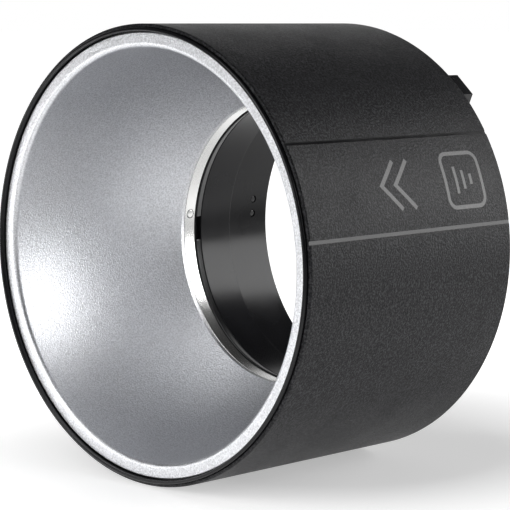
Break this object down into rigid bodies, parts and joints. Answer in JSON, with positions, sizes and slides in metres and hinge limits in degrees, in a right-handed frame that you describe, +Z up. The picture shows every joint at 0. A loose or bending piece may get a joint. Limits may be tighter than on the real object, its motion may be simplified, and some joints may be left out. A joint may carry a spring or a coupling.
{
  "type": "studio light snoot",
  "caption": "Short black cylindrical snoot with a bright bowl-shaped reflector inside, a socket collar for a lamp head and a finger-tab lock ring that drives grip shoes.",
  "frame": {"origin": "centre of the shoulder that the lamp head rests against, on the axis of the light path", "axes": "-Y along the axis out of the mouth, +Y towards the lamp head, +Z up, +X the side with the label panel"},
  "size_m": [0.12, 0.0921, 0.12],
  "materials": {
    "shell_black": "fine-grained semi-matte black coating on aluminium",
    "gloss_black": "smooth glossy black anodised aluminium",
    "satin_silver": "satin anodised with a fine orange-peel texture",
    "bright_silver": "bright drawn aluminium",
    "spring_steel": "bright spring steel",
    "screw_steel": "black-oxide steel",
    "lever_black": "smooth glossy black heat-resistant plastic"
  },
  "bodies": {
    "housing": {"outer_shell": "shell_black", "front_trim_ring": "gloss_black", "reflector_bowl": "satin_silver", "throat_ring": "bright_silver", "throat_rivet_1": "bright_silver", "throat_rivet_2": "bright_silver", "throat_rivet_3": "bright_silver", "retaining_ring": "gloss_black", "mount_collar": "gloss_black", "rear_bulkhead": "shell_black", "collar_screw_1": "screw_steel", "collar_screw_2": "screw_steel", "collar_screw_3": "screw_steel", "wave_washer": "spring_steel", "end_cap": "lever_black", "cap_screw_1": "screw_steel", "cap_screw_2": "screw_steel", "cap_screw_3": "screw_steel"},
    "lock_ring": {"lock_ring": "lever_black"},
    "grip_1": {"grip_shoe_1": "lever_black", "cam_pin_1": "spring_steel"},
    "grip_2": {"grip_shoe_2": "lever_black", "cam_pin_2": "spring_steel"},
    "grip_3": {"grip_shoe_3": "lever_black", "cam_pin_3": "spring_steel"}
  },
  "joints": [
    {"name": "lock_turn", "type": "hinge", "parent": "housing", "child": "lock_ring", "pos_m": [0, 0.0081, 0], "axis": [0, -1, 0], "range_deg": [0, 18]},
    {"name": "grip_slide_1", "type": "slide", "parent": "housing", "child": "grip_1", "axis": [-0.5899, 0, -0.8075], "range_m": [0, 0.0012]},
    {"name": "grip_slide_2", "type": "slide", "parent": "housing", "child": "grip_2", "axis": [0.9942, 0, -0.1071], "range_m": [0, 0.0012]},
    {"name": "grip_slide_3", "type": "slide", "parent": "housing", "child": "grip_3", "axis": [-0.4043, 0, 0.9146], "range_m": [0, 0.0012]}
  ],
  "couplings": [
    {"joint": "grip_slide_1", "follows": "lock_turn", "m_per_rad": 0.0038197},
    {"joint": "grip_slide_2", "follows": "lock_turn", "m_per_rad": 0.0038197},
    {"joint": "grip_slide_3", "follows": "lock_turn", "m_per_rad": 0.0038197}
  ]
}
